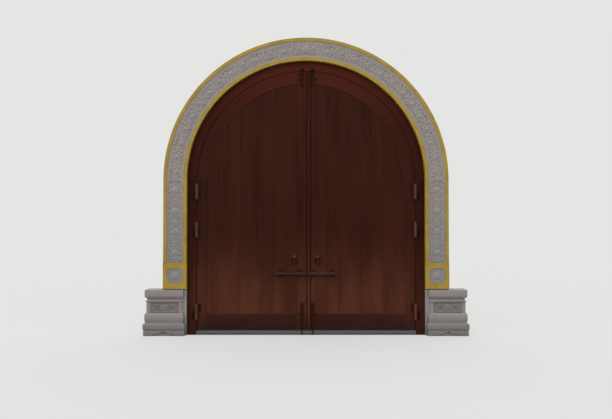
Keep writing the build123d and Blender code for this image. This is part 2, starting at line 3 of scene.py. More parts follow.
import bmesh
import bpy
import numpy as np
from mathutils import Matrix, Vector


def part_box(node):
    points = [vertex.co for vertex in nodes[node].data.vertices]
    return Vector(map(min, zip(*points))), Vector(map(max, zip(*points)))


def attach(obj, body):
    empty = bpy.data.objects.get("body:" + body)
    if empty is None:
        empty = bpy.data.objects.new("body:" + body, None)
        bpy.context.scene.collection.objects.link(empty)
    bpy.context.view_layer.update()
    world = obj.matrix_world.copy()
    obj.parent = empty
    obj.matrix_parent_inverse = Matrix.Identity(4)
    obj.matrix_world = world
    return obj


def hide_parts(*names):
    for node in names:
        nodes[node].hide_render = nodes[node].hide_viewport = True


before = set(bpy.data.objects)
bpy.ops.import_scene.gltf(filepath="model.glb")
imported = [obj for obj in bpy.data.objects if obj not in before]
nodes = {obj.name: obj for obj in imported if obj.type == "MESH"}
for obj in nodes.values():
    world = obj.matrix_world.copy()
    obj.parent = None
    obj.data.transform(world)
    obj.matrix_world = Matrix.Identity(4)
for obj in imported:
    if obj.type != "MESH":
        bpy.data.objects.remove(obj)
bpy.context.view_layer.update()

# Sizes read from the frame, in metres

SIDES = (("left", -1), ("right", 1))
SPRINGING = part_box("left_head")[0][2]
ARCH_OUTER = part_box("outer_gilt_arch")[1][0]
ARCH_INNER = -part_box("left_medallion_stone")[1][0]
ARCH_MIDDLE = (ARCH_OUTER + ARCH_INNER) / 2
ARCH_STONES = sum(1 for name in nodes if name.startswith("arch_stone_"))
GILT_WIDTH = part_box("left_outer_gilt_leg")[1][0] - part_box("left_outer_gilt_leg")[0][0]
GILT_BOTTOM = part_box("left_gilt_panel_frame")[0][2]
GILT_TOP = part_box("left_gilt_panel_frame")[1][2]
STONE_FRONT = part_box("left_outer_gilt_leg")[1][1]
STONE_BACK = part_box("left_leg_stone")[1][1]
RELIEF = STONE_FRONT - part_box("left_leg_stone")[0][1]
FIELD_HALF = (ARCH_OUTER - ARCH_INNER) / 2 - GILT_WIDTH
PLINTH_LOW, PLINTH_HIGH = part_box("left_plinth")
PLINTH_FRONT, PLINTH_BACK, PLINTH_TOP = PLINTH_LOW[1], PLINTH_HIGH[1], PLINTH_HIGH[2]
PLINTH_OUTER = -PLINTH_LOW[0]
LEAF_RADIUS = -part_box("left_hinge_stile")[0][0]
FRAME_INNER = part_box("sill")[1][0]
SEAM_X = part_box("cover_strip")[0][0]
STRIP_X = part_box("cover_strip")[1][0]
BOARD_COUNT = 8

# Small helpers


def linear(red, green, blue):
    """An 8-bit screen colour as the linear colour that shaders take."""
    def channel(value):
        share = value / 255
        return share / 12.92 if share <= 0.04045 else ((share + 0.055) / 1.055) ** 2.4
    return (channel(red), channel(green), channel(blue), 1.0)


def scaled(colour, factor):
    return tuple(min(1.0, part * factor) for part in colour[:3]) + (1.0,)


class Graph:
    """The node tree of a new material or world, with short calls for the nodes used here."""

    def __init__(self, owner):
        self.owner = owner
        self.tree = owner.node_tree
        self.place = self.tree.nodes.new("ShaderNodeTexCoord").outputs["Object"]

    def put(self, socket, value):
        if isinstance(value, bpy.types.NodeSocket):
            self.tree.links.new(value, socket)
        else:
            socket.default_value = value

    def node(self, kind, settings=None, out=0, **inputs):
        """A new node's output. Inputs go by name, or by number after an underscore."""
        made = self.tree.nodes.new(kind)
        for key, value in (settings or {}).items():
            setattr(made, key, value)
        for key, value in inputs.items():
            self.put(made.inputs[int(key[1:]) if key[0] == "_" else key], value)
        return made.outputs[out]

    def math(self, operation, first, second=0.0):
        return self.node("ShaderNodeMath", {"operation": operation}, _0=first, _1=second)

    def plus(self, first, second):
        return self.math("ADD", first, second)

    def times(self, first, second):
        return self.math("MULTIPLY", first, second)

    def away(self, value, middle):
        """How far value lies from middle, to either side."""
        return self.math("ABSOLUTE", self.math("SUBTRACT", value, middle))

    def xyz(self):
        """The object's own coordinates, which are the frame's at rest."""
        return self.node("ShaderNodeSeparateXYZ", Vector=self.place).node.outputs

    def join(self, x, y, z):
        return self.node("ShaderNodeCombineXYZ", X=x, Y=y, Z=z)

    def noise(self, vector, scale, detail, roughness=0.55, distortion=0.0):
        """Noise from 0 to 1. scale is one number, or one for each axis."""
        if isinstance(scale, tuple):
            vector, scale = self.node("ShaderNodeMapping", Vector=vector, Scale=scale), 1.0
        return self.node(
            "ShaderNodeTexNoise",
            Vector=vector, Scale=scale, Detail=detail, Roughness=roughness, Distortion=distortion,
        )

    def ramp(self, factor, low, high, start=0.0, end=1.0):
        """A smooth step from start, where factor is low, to end, where it is high."""
        smooth = {"interpolation_type": "SMOOTHSTEP"}
        return self.node("ShaderNodeMapRange", smooth, Value=factor, _1=low, _2=high, _3=start, _4=end)

    def mix(self, factor, first, second):
        return self.node("ShaderNodeMix", {"data_type": "RGBA"}, 2, _0=factor, _6=first, _7=second)

    def blend(self, colour, tone, factor, low, high, share=1.0):
        """Turns colour into tone, by up to share, as factor goes from low to high."""
        return self.mix(self.ramp(factor, low, high, 0.0, share), colour, tone)

    def bump(self, height, strength, distance):
        return self.node("ShaderNodeBump", Height=height, Strength=strength, Distance=distance)

    def hollows(self, reach):
        """1 in corners and hollows, 0 on open faces."""
        openness = self.node("ShaderNodeAmbientOcclusion", {"samples": 8}, "AO", Distance=reach)
        return self.math("SUBTRACT", 1.0, openness)

    def camera_sees(self):
        """1 where the camera looks, 0 for light that falls on things."""
        return self.node("ShaderNodeLightPath")

    def finish(self, colour, roughness, specular, normal=None, metallic=0.0, glow=()):
        """The material. glow is the colour and strength of light of its own."""
        shader = self.tree.nodes["Principled BSDF"].inputs
        self.put(shader["Base Color"], colour)
        self.put(shader["Roughness"], roughness)
        self.put(shader["Specular IOR Level"], specular)
        self.put(shader["Metallic"], metallic)
        if normal is not None:
            self.put(shader["Normal"], normal)
        for name, value in zip(("Emission Color", "Emission Strength"), glow):
            self.put(shader[name], value)
        return self.owner


def surface(name):
    """The graph of a new material."""
    material = bpy.data.materials.new(name)
    material.use_nodes = True
    return Graph(material)


def soften(piece, width, segments=2):
    """Rounds a piece's sharp edges a little, for the light to catch."""
    bevel = piece.modifiers.new("soft edges", "BEVEL")
    bevel.width = width
    bevel.segments = segments
    bevel.limit_method = "ANGLE"
    bevel.angle_limit = math.radians(35)


def dress(name, material, edge=0.0, segments=2):
    """Gives a CAD node its material, and softens its edges by edge."""
    slots = nodes[name].data.materials
    if not len(slots):
        slots.append(material)
    for index in range(len(slots)):
        slots[index] = material
    if edge:
        soften(nodes[name], edge, segments)


# Woodwork: each wood is a (dark, light) pair of tones; heights are above the ground

LEAF_WOOD = (linear(48, 20, 11), linear(64, 30, 19))
RAIL_WOOD = tuple(scaled(tone, 0.9) for tone in LEAF_WOOD)
STRIP_WOOD = tuple(scaled(tone, 1.1) for tone in LEAF_WOOD)
FRAME_WOOD = (linear(50, 18, 11), linear(64, 27, 17))
POST_WOOD = (scaled(FRAME_WOOD[0], 0.8), scaled(FRAME_WOOD[1], 0.85))
GROUND_BOUNCE_TONE = linear(94, 52, 37)
# Painted light: the tone the lower woodwork takes, as if lit by light bounced up from the ground
FOOT_TONE = linear(44, 28, 24)
CROWN_TONE = linear(86, 36, 23)
CROWN_LOW, CROWN_HIGH = 3.0, 4.5
# Heights over which that painted ground light comes in
BOUNCE_TOP, BOUNCE_BOTTOM = 1.75, 0.40
FOOT_TOP, FOOT_BOTTOM = 0.40, 0.10
STREAK_SCALE = (34, 34, 0.8)
PORE_SCALE = (280, 280, 5.0)
CLOUD_SCALE = (2.2, 2.2, 0.7)
BOARD_SHIFT = (3.7, 1.3)
BOARD_CONTRAST = 0.35
CREVICE = 0.03
# Painted shade in the woodwork's hollows and creases, and a fainter one on the boards
HOLLOW_SHADE, BOARD_HOLLOW_SHADE = 0.7, 0.08
SEAM_SHADE = 0.020
WOOD_GLOSS = 0.05
WOOD_EDGE, STILE_EDGE, STRIP_EDGE = 0.003, 0.0008, 0.002


def grain_place(graph, run):
    """Coordinates with the grain along the third axis. It runs up, level, or round the arch."""
    x, y, z = graph.xyz()
    if run == "level":
        return graph.join(z, y, x)
    if run == "up":
        return graph.join(x, y, z)
    up = graph.math("SUBTRACT", z, SPRINGING)
    radius = graph.math("SQRT", graph.plus(graph.times(x, x), graph.times(up, up)))
    return graph.join(radius, y, graph.times(graph.math("ARCTAN2", x, up), LEAF_RADIUS))


def wood(name, tones, run, ground_bounce=0.0, boards=None, foot=0.0, seams=(), crown=0.0):
    """Stained hardwood. run is up, level or round, the way its grain goes.

    ground_bounce is how far the lower part is lightened by painted light, as if bounced up from the ground,
    and foot how far its lowest part has darkened.
    boards is the first board's edge and the boards' pitch. seams are upright joints with painted shade along
    them.
    crown is how far the wood at the top of the arch has kept its red.
    """
    graph = surface(name)
    dark, light = tones
    x, _, z = graph.xyz()
    grain = grain_place(graph, run)
    if boards:
        first, pitch = boards
        index = graph.math("FLOOR", graph.math("DIVIDE", graph.math("SUBTRACT", x, first), pitch))
        board_tone = graph.node("ShaderNodeTexWhiteNoise", {"noise_dimensions": "1D"}, W=index)
        shift = graph.join(0.0, *(graph.times(index, step) for step in BOARD_SHIFT))
        grain = graph.node("ShaderNodeVectorMath", {"operation": "ADD"}, _0=grain, _1=shift)
    streaks = graph.noise(grain, STREAK_SCALE, 5.0, 0.6, 0.5)
    pores = graph.noise(grain, PORE_SCALE, 3.0, 0.65)
    clouds = graph.noise(grain, CLOUD_SCALE, 4.0)
    figure = graph.plus(graph.times(streaks, 0.6), graph.times(clouds, 0.4))
    colour = graph.blend(dark, light, figure, 0.36, 0.66)
    colour = graph.blend(colour, scaled(dark, 0.6), pores, 0.54, 0.74, 0.3)
    if boards:
        colour = graph.mix(graph.times(board_tone, BOARD_CONTRAST), colour, light)
    # Painted light: the lower part lightened in patches, as if by light bounced up from the ground
    if ground_bounce:
        patchy = graph.times(graph.ramp(z, BOUNCE_TOP, BOUNCE_BOTTOM), graph.ramp(clouds, 0.3, 0.7, 0.4, 1.1))
        colour = graph.mix(graph.times(patchy, ground_bounce), colour, GROUND_BOUNCE_TONE)
    if crown:
        colour = graph.blend(colour, CROWN_TONE, z, CROWN_LOW, CROWN_HIGH, crown)
    if foot:
        colour = graph.blend(colour, FOOT_TONE, z, FOOT_TOP, FOOT_BOTTOM, foot)
    # Painted shade in the hollows and creases
    hollow_shade = BOARD_HOLLOW_SHADE if boards else HOLLOW_SHADE
    colour = graph.blend(colour, scaled(dark, 0.25), graph.hollows(CREVICE), 0.1, 0.6, hollow_shade)
    # Painted shade along the seams
    for seam in seams:
        colour = graph.blend(colour, scaled(dark, 0.1), graph.away(x, seam), SEAM_SHADE, SEAM_SHADE / 4, 0.9)
    rough = graph.ramp(streaks, 0.3, 0.7, 0.5, 0.64)
    height = graph.plus(graph.times(pores, 0.5), graph.times(streaks, 0.5))
    return graph.finish(colour, rough, WOOD_GLOSS, graph.bump(height, 0.3, 0.001))


def dress_woodwork():
    upright = wood("leaf wood upright", LEAF_WOOD, "up", ground_bounce=0.55, foot=0.8)
    level = wood("leaf wood level", RAIL_WOOD, "level", ground_bounce=0.3, foot=0.85)
    curved = wood("leaf wood curved", LEAF_WOOD, "round", crown=0.68)
    ledge = wood("ledge wood", LEAF_WOOD, "level", ground_bounce=0.8)
    post = wood("frame wood upright", POST_WOOD, "up", ground_bounce=0.4, foot=0.3)
    head = wood("frame wood curved", FRAME_WOOD, "round", crown=0.9)
    meeting = wood("meeting wood", LEAF_WOOD, "up", ground_bounce=0.9, foot=0.7, seams=(SEAM_X, STRIP_X), crown=0.45)
    parts = {
        "hinge_stile": upright, "bottom_rail": level, "arched_rail": curved,
        "ledges": ledge, "post": post, "head": head,
    }
    for side, _ in SIDES:
        low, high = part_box(f"{side}_boards")
        pitch = (high[0] - low[0]) / BOARD_COUNT
        boards = wood(f"{side} leaf boards", LEAF_WOOD, "up", ground_bounce=0.8, boards=(low[0], pitch), foot=0.5)
        dress(f"{side}_boards", boards)
        dress(f"{side}_meeting_stile", meeting, STILE_EDGE)
        for part, material in parts.items():
            dress(f"{side}_{part}", material, WOOD_EDGE)
    dress("cover_strip", wood("cover strip wood", STRIP_WOOD, "up", ground_bounce=0.8, foot=0.5), STRIP_EDGE)


# Ironwork: each iron is a (dark, worn) pair of tones

IRON = (linear(38, 15, 8), linear(50, 24, 15))
BOLT_IRON = (linear(54, 22, 10), linear(66, 32, 19))
FRAME_HINGE_IRON = (scaled(IRON[0], 0.6), IRON[0])
LEAF_HINGE_IRON = (scaled(BOLT_IRON[0], 0.85), BOLT_IRON[0])
# Painted highlight along the slide bolt's bar
BAR_HIGHLIGHT_TONE = linear(72, 43, 34)
# Painted highlight on the hinges' barrels
BARREL_HIGHLIGHT_TONE = linear(92, 60, 51)
# Painted highlight on the top of the pulls' roses
PULL_HIGHLIGHT_TONE = linear(112, 74, 64)
BARREL_CLEARANCE = 0.002
FLAG_FRONT, BARREL_FRONT = -0.010, -0.014
BAR_OUTER, BAR_INNER = 0.004, 0.001
# Where the painted highlight on a rose starts, as a share of its height, and how soon it is full
ROSE_HIGHLIGHT_SHARE, ROSE_HIGHLIGHT_FADE = 0.6, 0.016
HINGE_EDGE, ROSE_EDGE, SLIDE_EDGE, BOLT_EDGE = 0.0015, 0.002, 0.002, 0.0012


def iron(name, tones, gloss=0.05, lighter=None, tone=None):
    """Bronze-brown painted iron, worn lighter in patches, with a painted highlight in places.

    tone is that of the painted highlight, and lighter, given the graph, makes a mask that is 1 where it is
    painted.
    """
    graph = surface(name)
    dark, worn = tones
    patches = graph.noise(graph.place, 28.0, 5.0, 0.65)
    fine = graph.noise(graph.place, 380.0, 3.0, 0.6)
    colour = graph.blend(dark, worn, patches, 0.42, 0.72)
    colour = graph.blend(colour, scaled(worn, 1.4), fine, 0.6, 0.8, 0.4)
    # A painted highlight where the mask is 1
    if lighter:
        painted_highlight = graph.blend(scaled(tone, 0.85), scaled(tone, 1.2), patches, 0.42, 0.72)
        colour = graph.mix(lighter(graph), colour, painted_highlight)
    rough = graph.ramp(patches, 0.3, 0.7, 0.42, 0.6)
    return graph.finish(colour, rough, gloss, graph.bump(fine, 0.25, 0.0006))


def on_barrels(graph):
    """The hinges' barrels, apart from their flags, where a highlight is painted."""
    radius = (-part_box("left_leaf_hinges")[0][1] - BARREL_CLEARANCE) / 2
    axis = (LEAF_RADIUS + FRAME_INNER) / 2
    x, y, _ = graph.xyz()
    away = graph.away(graph.math("ABSOLUTE", x), axis)
    proud = graph.ramp(y, FLAG_FRONT, BARREL_FRONT)
    return graph.times(graph.ramp(away, radius + 0.001, radius), proud)


def on_slide_bar(graph):
    """The bar and the loops round it, apart from the brackets' plates, where a highlight is painted."""
    low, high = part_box("slide_bolt")
    level, half = (low[2] + high[2]) / 2, (high[2] - low[2]) / 2
    return graph.ramp(graph.away(graph.xyz()[2], level), half + BAR_OUTER, half + BAR_INNER)


def on_rose_top(graph):
    """The upper part of a pull's rose, with a painted highlight."""
    low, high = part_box("left_pull_rose")
    level = low[2] + (high[2] - low[2]) * ROSE_HIGHLIGHT_SHARE
    return graph.ramp(graph.xyz()[2], level, level + ROSE_HIGHLIGHT_FADE)


def dress_ironwork():
    rings = iron("dark iron", IRON)
    bolts = iron("bolt iron", BOLT_IRON)
    # The slide bolt's bar gets a painted highlight
    bar = iron("bar iron", IRON, 0.1, on_slide_bar, BAR_HIGHLIGHT_TONE)
    # The tops of the roses get a painted highlight
    rose = iron("rose iron", IRON, 0.3, on_rose_top, PULL_HIGHLIGHT_TONE)
    # The hinges' barrels get a painted highlight
    frame_hinge = iron("frame hinge iron", FRAME_HINGE_IRON, lighter=on_barrels, tone=BARREL_HIGHLIGHT_TONE)
    leaf_hinge = iron("leaf hinge iron", LEAF_HINGE_IRON, lighter=on_barrels, tone=BARREL_HIGHLIGHT_TONE)
    for name in nodes:
        if "hinges" in name:
            dress(name, leaf_hinge if "leaf" in name else frame_hinge, HINGE_EDGE)
        elif name.endswith("pull_rose"):
            dress(name, rose, ROSE_EDGE, 3)
        elif "slide_bolt" in name:
            dress(name, bar, SLIDE_EDGE)
        elif "pull_ring" in name:
            dress(name, rings, BOLT_EDGE)
        elif "bolt" in name or "keepers" in name:
            dress(name, bolts, BOLT_EDGE)


# Stone and gilding

STONE_TONE = linear(156, 147, 141)
STONE_LOW_TONE = linear(143, 140, 140)
STONE_LOW_TOP, STONE_LOW_BOTTOM = 2.4, 0.95
PLINTH_TONE = linear(146, 139, 136)
# The plinth's granite darkened: painted shade on the waist under the top course
WAIST_SHADE_TONE = linear(127, 120, 117)
SILL_TONE = linear(98, 94, 99)
DAMP_TOP, DAMP_BOTTOM = 0.36, 0.10
SPECKLE_SCALE = 420.0
CRYSTAL_SCALE = 150.0
STAIN_SCALE = (2.4, 2.4, 1.2)
GILT_BRIGHT, GILT_DEEP = linear(173, 144, 54), linear(157, 127, 44)
GILT_RUBBED, GILT_DIRT_AND_SHADE = linear(186, 166, 92), linear(84, 62, 30)
GILT_EDGE = 0.003


def granite(name, tone, dust_and_shade=0.55, reach=0.03, damp=0.0, low_tone=None):
    """Pale grey granite with fine speckle and stains, dust and painted shade in its hollows, and damp near
    the ground.

    reach is how wide a hollow can be and still take dust and painted shade. low_tone, where given, is what
    the stone's own tone turns to lower down.
    """
    graph = surface(name)
    height = graph.xyz()[2]
    speckle = graph.noise(graph.place, SPECKLE_SCALE, 2.0, 0.7)
    crystals = graph.noise(graph.place, CRYSTAL_SCALE, 3.0, 0.6)
    stains = graph.noise(graph.place, STAIN_SCALE, 5.0, 0.62)

    def speckled(base):
        return graph.blend(scaled(base, 0.8), scaled(base, 1.18), speckle, 0.38, 0.62)

    colour = speckled(tone)
    if low_tone:
        colour = graph.blend(colour, speckled(low_tone), height, STONE_LOW_TOP, STONE_LOW_BOTTOM)
    colour = graph.blend(colour, scaled(tone, 0.5), crystals, 0.62, 0.74, 0.35)
    colour = graph.blend(colour, scaled(tone, 0.7), stains, 0.45, 0.8, 0.3)
    # Dust and painted shade in the hollows
    colour = graph.blend(colour, scaled(tone, 0.34), graph.hollows(reach), 0.12, 0.75, dust_and_shade)
    if damp:
        colour = graph.blend(colour, scaled(tone, 0.45), height, DAMP_TOP, DAMP_BOTTOM, damp)
    rough = graph.ramp(crystals, 0.3, 0.7, 0.62, 0.85)
    return graph.finish(colour, rough, 0.35, graph.bump(speckle, 0.35, 0.0008))


def gilding(name):
    """Gold paint on stone: slightly uneven, rubbed pale in places, with a little dirt and painted shade in
    its corners.
    """
    graph = surface(name)
    patches = graph.noise(graph.place, 6.0, 4.0)
    brush = graph.noise(graph.place, 160.0, 3.0, 0.6)
    colour = graph.blend(GILT_BRIGHT, GILT_DEEP, patches, 0.35, 0.7)
    colour = graph.blend(colour, GILT_RUBBED, brush, 0.56, 0.8, 0.35)
    # Dirt and painted shade in the corners
    colour = graph.blend(colour, GILT_DIRT_AND_SHADE, graph.hollows(0.02), 0.2, 0.8, 0.5)
    rough = graph.ramp(brush, 0.3, 0.7, 0.42, 0.58)
    return graph.finish(colour, rough, 0.3, graph.bump(brush, 0.3, 0.0008), 0.1)


def dress_stonework():
    plain = granite("granite", PLINTH_TONE, 0.6, 0.05, 0.35)
    for side, _ in SIDES:
        dress(f"{side}_plinth", plain)
    dress("sill", granite("sill granite", SILL_TONE))
    gilt = gilding("gilding")
    for name in nodes:
        if "gilt" in name:
            dress(name, gilt, GILT_EDGE)


# Carving: each carved field is a grid of heights, built up from strokes, leaves, spirals and flowers

GRID = 0.0031
STROKE_STEP = 0.0025
BEND_POINTS = 14
BORDER, BORDER_HEIGHT = 0.016, 0.008
RELIEF_LOW = RELIEF * 0.62
GROUND = RELIEF * 0.25
STIPPLE, STIPPLE_PITCH = 0.0008, 0.011


def circle(s, v, radius, count):
    """Points on a closed ring."""
    turns = np.linspace(0, 2 * math.pi, count)
    return [(s + radius * math.cos(turn), v + radius * math.sin(turn)) for turn in turns]


def bend(start, middle, end):
    """Points on a smooth curve from start to end, pulled towards middle."""
    points = []
    for share in np.linspace(0, 1, BEND_POINTS):
        a, b, c = (1 - share) ** 2, 2 * share * (1 - share), share ** 2
        points.append(tuple(a * p + b * q + c * r for p, q, r in zip(start, middle, end)))
    return points


def point_at(points, share):
    """The place at a share of the way from the first point to the last."""
    place = share * (len(points) - 1)
    return tuple(np.interp(place, range(len(points)), points[:, axis]) for axis in (0, 1))


class Field:
    """Heights on an even grid, in metres: s runs along the field and v across it."""

    def __init__(self, start, end, half, parts=1):
        """The field runs from start to end, half to each side, with grid lines at the ends of its parts."""
        self.s = np.linspace(start, end, parts * round((end - start) / parts / GRID) + 1)
        self.v = np.linspace(-half, half, round(2 * half / GRID) + 1)
        self.height = np.zeros((len(self.s), len(self.v)))

    def window(self, s, v, reach):
        """The rows and columns within reach of a place, and how far each lies from it."""
        rows = slice(*np.searchsorted(self.s, (s - reach, s + reach)))
        columns = slice(*np.searchsorted(self.v, (v - reach, v + reach)))
        return rows, columns, self.s[rows, None] - s, self.v[None, columns] - v

    def raise_to(self, rows, columns, height):
        part = self.height[rows, columns]
        np.maximum(part, height, out=part)

    def dome(self, s, v, radius, height):
        rows, columns, ds, dv = self.window(s, v, radius)
        share = 1 - (ds * ds + dv * dv) / (radius * radius)
        self.raise_to(rows, columns, height * np.sqrt(np.clip(share, 0, 1)))

    def stroke(self, points, width, height):
        """A rounded ridge along points. width and height are one number, or a (start, end) pair."""
        width, height = (value if isinstance(value, tuple) else (value, value) for value in (width, height))
        points = np.asarray(points)
        steps = np.hypot(*np.diff(points, axis=0).T)
        along = np.concatenate([[0], np.cumsum(steps)])
        for place in np.arange(0, along[-1], STROKE_STEP):
            share = place / along[-1]
            s = np.interp(place, along, points[:, 0])
            v = np.interp(place, along, points[:, 1])
            radius = (width[0] + (width[1] - width[0]) * share) / 2
            self.dome(s, v, radius, height[0] + (height[1] - height[0]) * share)

    def spiral(self, s, v, radius, turn, turns, width, height):
        """A volute that winds inwards from angle turn, in degrees, and ends in a bead."""
        points = []
        for share in np.linspace(0, 1, 40):
            angle = math.radians(turn) + 2 * math.pi * turns * share
            reach = radius * (1 - 0.78 * share)
            points.append((s + reach * math.cos(angle), v + reach * math.sin(angle)))
        self.stroke(points, (width, width * 0.6), (height, height * 0.85))
        self.dome(s, v, radius * 0.24, height * 1.05)

    def flower(self, s, v, radius, petals, height, turn=0.0):
        """Two rounds of cupped petals about a domed heart, all as shares of radius and height."""
        rows, columns, ds, dv = self.window(s, v, radius)
        reach = np.hypot(ds, dv) / radius
        angle = np.arctan2(dv, ds) + turn
        outer = np.abs(np.cos(petals * angle / 2)) ** 0.55
        inner = np.abs(np.sin(petals * angle / 2)) ** 0.55
        outer_cup = 0.42 + 0.34 * np.sin(np.pi * np.clip(reach, 0, 1)) * outer
        inner_cup = 0.62 + 0.25 * inner * np.sin(np.pi * np.clip(reach / 0.66, 0, 1))
        heart_reach = 0.25
        heart_dome = 0.70 + 0.34 * np.sqrt(np.clip(1 - (reach / heart_reach) ** 2, 0, 1))
        outer_round = np.where(reach < 0.72 + 0.28 * outer, outer_cup, 0)
        inner_round = np.where(reach < 0.36 + 0.3 * inner, inner_cup, 0)
        heart = np.where(reach < heart_reach, heart_dome, 0)
        self.raise_to(rows, columns, height * np.maximum(np.maximum(outer_round, inner_round), heart))

    def leaf(self, points, width, height, lobes=4, veined=True):
        """A lobed leaf along a curved spine, with a vein down its middle where veined."""
        points = np.asarray(points)
        for share in np.linspace(0.04, 0.97, 26):
            lobe = 0.72 + 0.28 * abs(math.sin(lobes * math.pi * share))
            radius = width / 2 * math.sin(math.pi * share ** 0.75) ** 0.7 * lobe
            if radius > GRID * 0.7:
                crown = 0.55 + 0.45 * math.sin(math.pi * share)
                self.dome(*point_at(points, share), radius, height * crown)
        if veined:
            self.vein(points, height * 0.45)

    def vein(self, points, height):
        """A groove down the middle of a leaf, cut to height."""
        for share in np.linspace(0.1, 0.8, 18):
            rows, columns, _, _ = self.window(*point_at(points, share), GRID)
            part = self.height[rows, columns]
            np.minimum(part, height, out=part)

    def ground(self):
        """Lifts the ground between the motifs, and tools it with small points."""
        turn = 2 * math.pi / STIPPLE_PITCH
        points = np.cos(turn * self.s)[:, None] * np.cos(turn * self.v)[None, :]
        np.maximum(self.height, GROUND + STIPPLE * points, out=self.height)

    def borders(self):
        """A plain raised fillet along both edges."""
        edge = np.abs(self.v) > self.v[-1] - BORDER
        self.height[:, edge] = np.maximum(self.height[:, edge], BORDER_HEIGHT)


# The arch: a scrolling stem, with a flower under each of its crests

SCROLLS = 2 * ARCH_STONES
ARCH_LENGTH = math.pi * ARCH_MIDDLE
PERIOD = ARCH_LENGTH / SCROLLS
SWING = 0.058
STEM_WIDTH = 0.015
ARCH_FLOWER = 0.041
KEY_FLOWER = 0.072
WRAP_START, WRAP_TURN = 196, 178
WRAP_REACH, WRAP_CLOSING = 0.064, 0.008
# A leaf's spine, along the arch and outwards from its crest's place; its width, share of relief and lobes
ARCH_LEAVES = (
    (((0.006, -0.058), (0.036, -0.066), (0.060, -0.098)), 0.030, 0.8, 4),
    (((0.070, 0.044), (0.080, 0.070), (0.052, 0.098)), 0.026, 0.75, 4),
    (((0.030, 0.066), (0.026, 0.084), (0.008, 0.100)), 0.018, 0.65, 3),
)
# A bead's place, radius and share of relief
ARCH_BEADS = (((0, -0.084), 0.010, 0.8), ((0, -0.101), 0.006, 0.6), ((PERIOD / 4, 0), 0.010, 0.85))


def carve_half_wave(field, centre, side, hand):
    """One crest of the scrolling stem, with the flower it wraps and the leaves about it.

    centre is the crest's place along the arch, side is +1 where the crest points outwards,
    and hand is +1 where the pattern runs with s.
    """
    def at(a, b):
        return (centre + hand * a, side * b)

    quarter = PERIOD / 4
    crest = [at(a, SWING * math.cos(2 * math.pi * a / PERIOD)) for a in np.linspace(-quarter, quarter, 24)]
    field.stroke(crest, STEM_WIDTH, RELIEF_LOW)
    field.flower(*at(0, 0.012), ARCH_FLOWER, 6, RELIEF * 0.95)
    wrap = []
    for share in np.linspace(0, 1, 30):
        angle = math.radians(WRAP_START + WRAP_TURN * share)
        reach = WRAP_REACH - WRAP_CLOSING * share
        wrap.append(at(reach * math.cos(angle), 0.010 + reach * math.sin(angle)))
    field.stroke(wrap, (0.011, 0.006), (RELIEF_LOW, RELIEF_LOW * 0.8))
    field.dome(*wrap[-1], 0.008, RELIEF_LOW)
    for lean in (-1, 1):
        for spine, width, share, lobes in ARCH_LEAVES:
            field.leaf(bend(*(at(lean * a, b) for a, b in spine)), width, RELIEF * share, lobes)
        turns = -1.35 * side * hand * lean
        field.spiral(*at(lean * 0.090, -0.066), 0.026, 90 * side, turns, 0.009, RELIEF_LOW)
    for place, radius, share in ARCH_BEADS:
        field.dome(*at(*place), radius, RELIEF * share)


def carve_arch():
    field = Field(-ARCH_LENGTH / 2, ARCH_LENGTH / 2, FIELD_HALF, ARCH_STONES)
    for hand in (-1, 1):
        for wave in range(SCROLLS):
            centre = hand * (PERIOD / 4 + wave * PERIOD / 2)
            carve_half_wave(field, centre, 1 if wave % 2 == 0 else -1, hand)
    field.flower(0, 0, KEY_FLOWER, 8, RELIEF)
    field.ground()
    field.borders()
    return field


# The legs: flowers in rings, with spirals and leaves between them, in a cut-cornered border

LEG_ROWS = 4
LEG_INSET, LEG_END_INSET, LEG_CORNER = 0.014, 0.006, 0.042
LEG_FLOWER, LEG_RING = 0.056, 0.068
LEG_SPIRAL, LEG_SPIRAL_SIDE, LEG_SPIRAL_SHARE = 0.034, 0.050, 0.33
SMALL_FLOWER, SMALL_SPIRAL, SMALL_SPIRAL_SIDE = 0.026, 0.020, 0.062


def carve_leg_row(field, level, pitch):
    """One ringed flower at level, and the spirals and leaves above and below it."""
    def curve(up, side, *places):
        return bend(*((level + up * a, side * b) for a, b in places))

    field.flower(level, 0, LEG_FLOWER, 8, RELIEF * 0.95, math.pi / 8)
    field.stroke(circle(level, 0, LEG_RING, 60), 0.007, RELIEF_LOW)
    centre = pitch * LEG_SPIRAL_SHARE
    for side in (-1, 1):
        for up in (1, -1):
            place = (level + up * centre, side * LEG_SPIRAL_SIDE)
            field.spiral(*place, LEG_SPIRAL, 90 + 90 * up, -1.5 * side * up, 0.010, RELIEF_LOW)
        for up in (-1, 1):
            end = (centre - LEG_SPIRAL, LEG_SPIRAL_SIDE)
            stem = curve(up, side, (0.070, 0.012), (0.082, LEG_SPIRAL_SIDE), end)
            field.stroke(stem, (0.009, 0.010), RELIEF_LOW)
            ring_leaf = curve(up, side, (0.050, 0.060), (0.058, 0.088), (0.020, 0.098))
            field.leaf(ring_leaf, 0.026, RELIEF * 0.75)
            edge_leaf = curve(up, side, (pitch * 0.36, 0.086), (pitch * 0.42, 0.088), (pitch * 0.47, 0.070))
            field.leaf(edge_leaf, 0.022, RELIEF * 0.7, 3)
    for up in (-1, 1):
        for side in (-1, 1):
            middle_leaf = curve(up, side, (0.078, 0.004), (pitch * 0.30, -0.020), (pitch * 0.44, 0.034 * up))
            field.leaf(middle_leaf, 0.022, RELIEF * 0.75, 3, False)
        field.dome(level + up * pitch * 0.40, 0, 0.009, RELIEF * 0.7)


